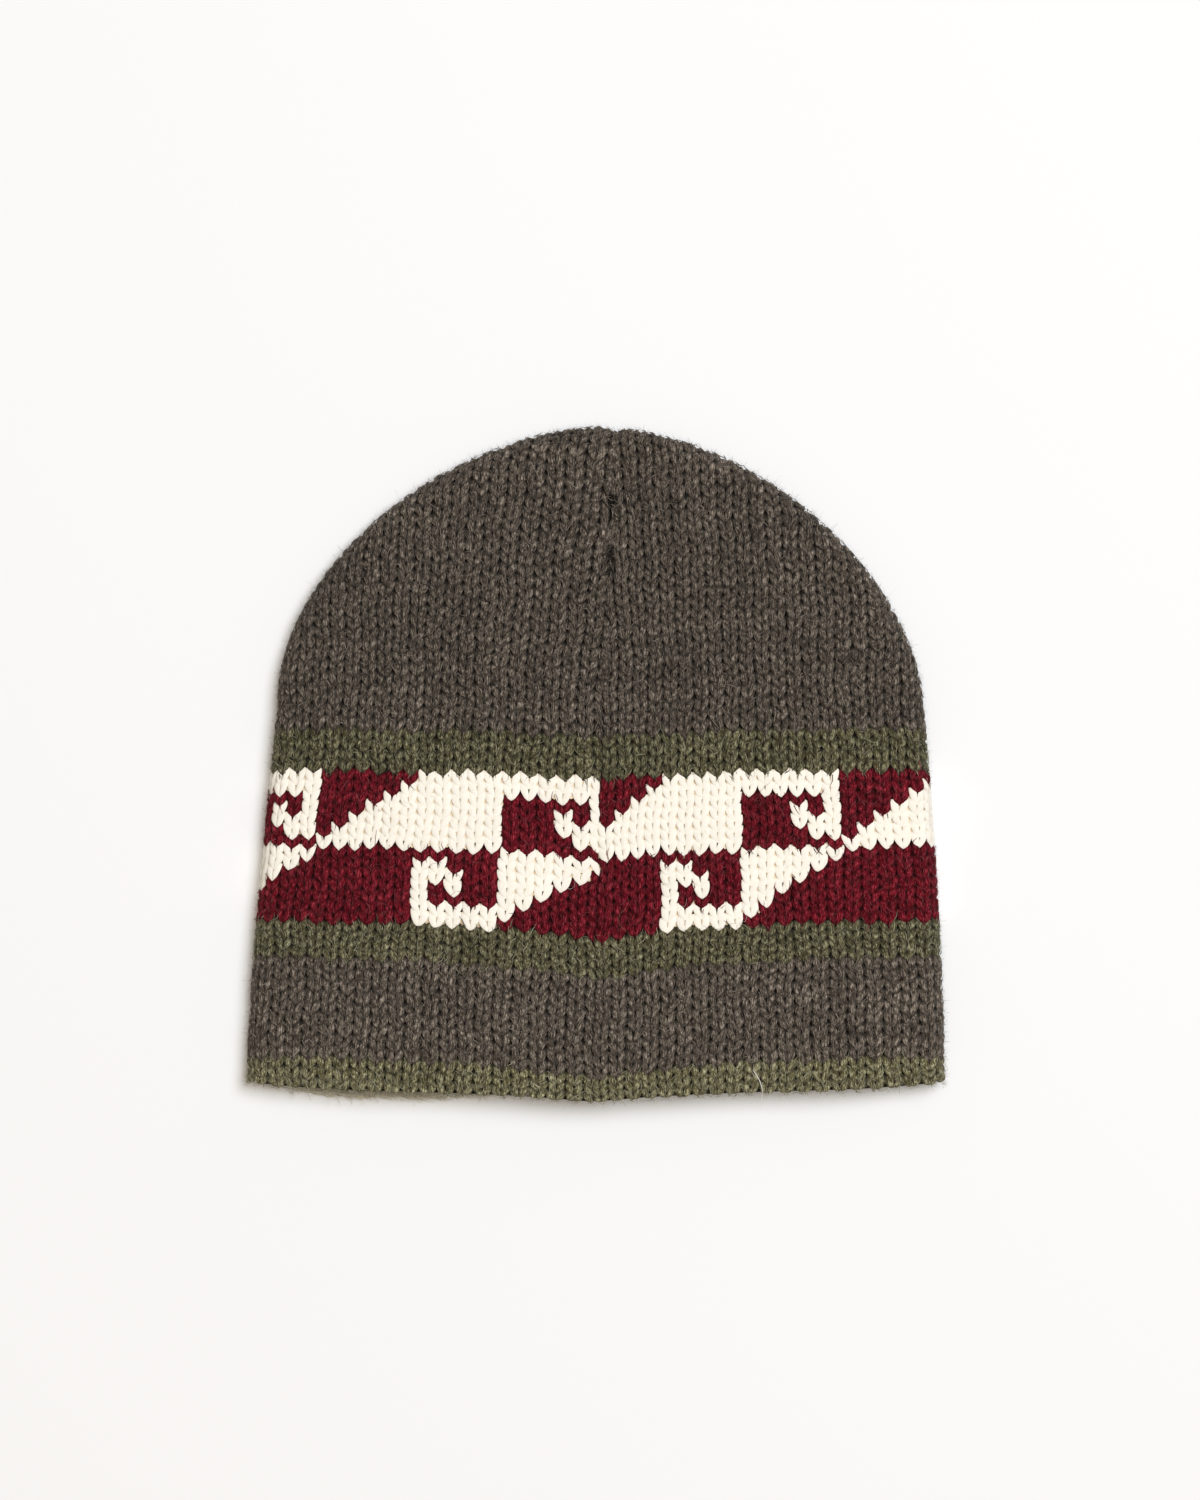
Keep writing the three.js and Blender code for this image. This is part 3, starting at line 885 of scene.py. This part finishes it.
growth = {
    "haloReach": 5.5,         # from the fold
    "strayFrom": 16,
    "strayRows": 2,           # rows at the brim that have none
    "start": (0.12, 0.85),    # shares of the leg's length
    "beside": 0.08,           # columns, from the leg's own line
    "brimGap": 0.4,
    "lean": 0.35,             # of the legs from their column
    "swing": 0.45,            # share of the curl that turns back again
    "swings": 5.0,
    "lengths": (-0.1, 0.4),   # mean and spread of the logarithm, and of the lift's
    "lifts": (0, 0.5),
    "loops": 0.5,             # share of them that come down again at their far end
    "bow": 1.4,
    "sunk": 0.12,
    "overFloor": 0.15,
    "taper": 0.7,
    "aside": (0.13, 0.21, 1.0),   # a direction that no fibre keeps to
    "mixed": 2.5,             # less mixes more dark and light ones
    "zoneTone": 0.06,
    "widths": (0.6, 1.3),
}


def hairMaterial(name, hair):
    material, tree, shader = newMaterial(name)
    tone = addNode(tree, "Attribute", attribute_name="tone")
    ends = {"Factor": tone.outputs["Fac"], "A": linear(*hair["dark"]), "B": linear(*hair["light"])}
    colour = addNode(tree, "Mix", ends, data_type="RGBA")
    setSockets(tree, shader, {"Base Color": colour.outputs["Result"], "Roughness": 0.8,
                              "Specular IOR Level": 0.2})
    return material


# The legs that this kind of hair grows on: a halo on the folds and along the brim, strays away from them
def hairyLegs(legs, kindName):
    x, y = flatPlace(legs["column"], legs["leftSide"], levelOfRow(legs["row"] + 0.5), legs["upper"])
    fromFold = np.abs(readGrid(insideGrid, x, y) + foldAllowance)
    if kindName == "halo":
        near = pick(legs, (fromFold < growth["haloReach"]) | (legs["row"] < 1))
        brim = pick(near, near["row"] < 1)
        return {key: np.concatenate([values, brim[key], brim[key]]) for key, values in near.items()}
    if kindName == "stray":
        return pick(legs, (fromFold > growth["strayFrom"]) & (legs["row"] > growth["strayRows"]))
    return legs


# Paths of hairs that start on a leg and curl away, most of them along it
def hairPaths(legs, count, kind):
    rings, curl = kind["rings"], kind["curl"]
    chosen = rng.integers(0, len(legs["row"]), count)
    marks = np.linspace(0, 1, len(legSections))
    start = rng.uniform(*growth["start"], count)
    along, across = [np.interp(start, marks, column) for column in list(zip(*legSections))[:2]]
    side, upper = legs["side"][chosen], legs["upper"][chosen]
    column = legs["column"][chosen] + side * across + rng.normal(0, growth["beside"], count)
    level = levelOfRow(legs["row"][chosen] + 0.5 + along)
    level = np.maximum(level, brimLevel + growth["brimGap"])
    x, y = flatPlace(column, legs["leftSide"][chosen], level, upper)
    share = np.linspace(0, 1, rings)[None, :]
    lean = growth["lean"] * side * np.where(upper, 1, -1)
    heading = math.pi / 2 - lean + rng.normal(0, kind["wander"], count)
    mayTurn = (legs["row"][chosen] > 0) | kind["hangs"]
    heading = heading + math.pi * rng.integers(0, 2, count) * mayTurn
    bend = rng.normal(0, curl, (count, 1))
    swing = rng.uniform(0, 2 * math.pi, (count, 1))
    turning = heading[:, None] + bend * share
    turning = turning + growth["swing"] * curl * np.sin(swing + growth["swings"] * share)
    size = (kind["length"] * rng.lognormal(*growth["lengths"], count))[:, None] / (rings - 1)
    stepX, stepY = np.cos(turning) * size, np.sin(turning) * size
    pathX = x[:, None] + np.cumsum(stepX, 1) - stepX
    pathY = y[:, None] + np.cumsum(stepY, 1) - stepY
    rise = kind["lift"] * rng.lognormal(*growth["lifts"], (count, 1))
    loops = rng.random((count, 1)) < growth["loops"]
    height = np.where(loops, np.sin(math.pi * share) * rise, share ** growth["bow"] * rise)
    wide = np.ones_like(pathX, bool)
    points, _ = fabricPoints(pathX, pathY, upper[:, None] & wide, growth["sunk"] - height)
    points[..., 2] = np.maximum(points[..., 2], growth["overFloor"])
    return points


# One mesh of three-sided, tapering fibres, from groups of paths with their widths and tones
def hairPiece(name, groups):
    meshes = []
    for paths, width, tone in groups:
        rings = paths.shape[1]
        tangents = np.gradient(paths, axis=1)
        tangents /= np.maximum(np.linalg.norm(tangents, axis=-1, keepdims=True), 1e-9)
        sideways = np.cross(tangents, growth["aside"])
        sideways /= np.maximum(np.linalg.norm(sideways, axis=-1, keepdims=True), 1e-9)
        upwards = np.cross(sideways, tangents)
        taper = width[:, None] / 2 * (1 - growth["taper"] * np.linspace(0, 1, rings)[None, :] ** 2)
        corners = []
        for corner in range(3):
            angle = 2 * math.pi * corner / 3
            offset = sideways * math.cos(angle) + upwards * math.sin(angle)
            corners.append(paths + offset * taper[..., None])
        points = np.stack(corners, 2).reshape(len(paths), rings * 3, 3)
        faces = [[0, 1, 2], [rings * 3 - 1, rings * 3 - 2, rings * 3 - 3]]
        for ring in range(rings - 1):
            for corner in range(3):
                here, there = ring * 3 + corner, ring * 3 + (corner + 1) % 3
                faces.append([here, here + 3, there + 3, there])
        meshes.append(joinedPiece(name, points, faces, tone=np.repeat(tone, rings * 3)))
    whole = meshes[0]
    if len(meshes) > 1:
        bm = bmesh.new()
        for piece in meshes:
            bm.from_mesh(piece.data)
        bm.to_mesh(whole.data)
        bm.free()
        for piece in meshes[1:]:
            bpy.data.objects.remove(piece)
    turnOutwards(whole)
    return whole


print("loose fibres")
hairMaterials = {yarn: hairMaterial(yarn + "Hair", hair) for yarn, hair in hairs.items()}
for index, zone in enumerate(zones):
    for yarn in (zone["yarn"], "cream"):
        chosen = (zoneIndex == index) & (cream == (yarn == "cream"))
        if not chosen.any():
            continue
        hair = hairs[yarn]
        own = pick(legs, chosen)
        groups = []
        for kindName, kind in hairKinds.items():
            for upper, share in ((True, 1.0), (False, kind["under"])):
                layer = hairyLegs(pick(own, own["upper"] == upper), kindName)
                count = int(len(layer["row"]) * hair[kindName] * share)
                if count == 0:
                    continue
                paths = hairPaths(layer, count, kind)
                bright, mixed = kind["bright"], growth["mixed"]
                tone = rng.beta(mixed * bright, mixed * (1 - bright), count)
                tone = tone + zone["tone"] * growth["zoneTone"]
                groups.append((paths, kind["width"] * rng.uniform(*growth["widths"], count), tone))
        name = pieceName(zone, yarn, "fuzz")
        piece = hairPiece(name, groups)
        piece.data.materials.append(hairMaterials[yarn])
        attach(piece, "root")
        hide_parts(zone["name"])
        print(name, len(piece.data.polygons))

# Loose fibres along one stretch of the lower layer's edge, which looks out under the brim. Their pale
# colours are painted light: olive fibres drawn near cream so they read as lit inside the brim's shade
wisps = {
    "count": 1000,
    "from": -114,
    "to": -22,
    "gathered": 2.6,          # more gathers them towards the stretch's middle
    "below": (-0.6, 2.4),     # the edge
    "height": (0.3, 3.0),
    "length": 3.2,
    "lengths": (0.5, 1.2),
    "turn": 0.25,             # from the edge's own direction, and how much they bend
    "bend": 0.6,
    "arch": 0.5,
    "rings": 4,
    "width": 0.15,
    "tones": (0.2, 1.0),
    # painted highlight: far paler than the olive yarn the wisps come from
    "dark": (160, 150, 116),
    "light": (243, 235, 212),
}


def wispPaths():
    count, rings = wisps["count"], wisps["rings"]
    share = np.linspace(0, 1, rings)[None, :]
    along = rng.beta(wisps["gathered"], wisps["gathered"], count)
    x = wisps["from"] + (wisps["to"] - wisps["from"]) * along
    edge = brimLevel + fabric["cornerLift"] * np.abs(x / (brimWidth / 2)) ** fabric["cornerSharpness"]
    y = edge - rng.uniform(*wisps["below"], count) * np.sqrt(np.sin(math.pi * along))
    z = rng.uniform(*wisps["height"], count)
    heading = rng.normal(0, wisps["turn"], (count, 1)) + rng.normal(0, wisps["bend"], (count, 1)) * share
    size = wisps["length"] / (rings - 1) * rng.uniform(*wisps["lengths"], (count, 1))
    pathX = x[:, None] + np.cumsum(np.cos(heading) * size, 1)
    pathY = y[:, None] + np.cumsum(np.sin(heading) * size, 1)
    pathZ = z[:, None] + wisps["arch"] * np.sin(math.pi * share)
    return np.stack([pathX, pathY, pathZ], -1)


paths = wispPaths()
tones = rng.uniform(*wisps["tones"], len(paths))
wispPiece = hairPiece("brim_wisps", [(paths, np.full(len(paths), wisps["width"]), tones)])
wispPiece.data.materials.append(hairMaterial("wispHair", wisps))

# One pale stray fibre that hangs over the brim
strayFibre = {
    "path": [(49.5, -96.2, 15.2), (51.6, -99.5, 15.6), (52.6, -103.0, 14.9), (52.0, -106.0, 13.2),
             (52.4, -107.6, 11.0)],
    "rings": 15,
    "width": 0.3,
}
knots = np.arange(len(strayFibre["path"]))
marks = np.linspace(0, len(knots) - 1, strayFibre["rings"])
line = np.stack([np.interp(marks, knots, column) for column in zip(*strayFibre["path"])], 1)
fibrePiece = hairPiece("stray_fibre", [(line[None], np.array([strayFibre["width"]]), np.ones(1))])
fibrePiece.data.materials.append(hairMaterials["cream"])
for piece, yarn in ((wispPiece, "olive"), (fibrePiece, "cream")):
    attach(piece, "root")

# Floor, light and camera
print("stage")
stage = {
    "plan": 0.317,            # millimetres of the plan in one pixel of the picture
    "width": 1200,
    "height": 1500,
    "pixelX": 596,            # the cap's middle in the picture
    "pixelY": 764.5,
    "lens": 100,
    "sensor": 36,
    "planeHeight": 8,         # height at which the plan has that scale
    "floorSize": 3000,
    "floorDrop": 0.3,
    "floorColour": (0.94, 0.942, 0.945, 1),
    "skyColour": (1, 0.82, 0.62, 1),
    "skyStrength": 0.18,
}
# Place in metres, size across, power and colour
lamps = {
    "key": {"place": (1.3, 1.05, 4.0), "size": 2.4, "power": 125, "colour": (0.922, 0.994, 1.09)},
    "fill": {"place": (0.2, 0.15, 3.8), "size": 2.6, "power": 53, "colour": (1.0, 0.91, 0.78)},
}


def pictureToPlan(pixelX, pixelY):
    return (pixelX - stage["pixelX"]) * stage["plan"], (stage["pixelY"] - pixelY) * stage["plan"]


bm = bmesh.new()
bmesh.ops.create_grid(bm, x_segments=1, y_segments=1, size=stage["floorSize"] / metre)
bmesh.ops.translate(bm, verts=bm.verts, vec=(0, 0, -stage["floorDrop"] / metre))
floor = objectFrom(bm, "floor")
material, tree, shader = newMaterial("paleFloor")
setSockets(tree, shader, {"Base Color": stage["floorColour"], "Roughness": 0.9, "Specular IOR Level": 0.1})
floor.data.materials.append(material)

world = bpy.data.worlds.new("studio")
world.use_nodes = True
sky = {"Color": stage["skyColour"], "Strength": stage["skyStrength"]}
setSockets(world.node_tree, world.node_tree.nodes["Background"], sky)
bpy.context.scene.world = world

for name, lamp in lamps.items():
    data = bpy.data.lights.new(name, "AREA")
    data.shape = "DISK"
    data.size = lamp["size"]
    data.energy = lamp["power"]
    data.color = lamp["colour"]
    light = addObject(name, data)
    light.location = lamp["place"]
    light.rotation_euler = (-Vector(lamp["place"])).to_track_quat("-Z", "Y").to_euler()

camera = addObject("camera", bpy.data.cameras.new("camera"))
camera.data.lens = stage["lens"]
camera.data.sensor_width = stage["sensor"]
viewHeight = stage["height"] * stage["plan"]
middleX, middleY = pictureToPlan(stage["width"] / 2, stage["height"] / 2)
distance = viewHeight * stage["lens"] / stage["sensor"] + stage["planeHeight"]
camera.location = (middleX / metre, middleY / metre, distance / metre)
bpy.context.scene.camera = camera
bpy.context.scene.view_settings.view_transform = "Standard"

triangles = sum(len(face.vertices) - 2 for piece in bpy.context.scene.objects if piece.type == "MESH"
                and not piece.hide_render for face in piece.data.polygons)
print("triangles", triangles)
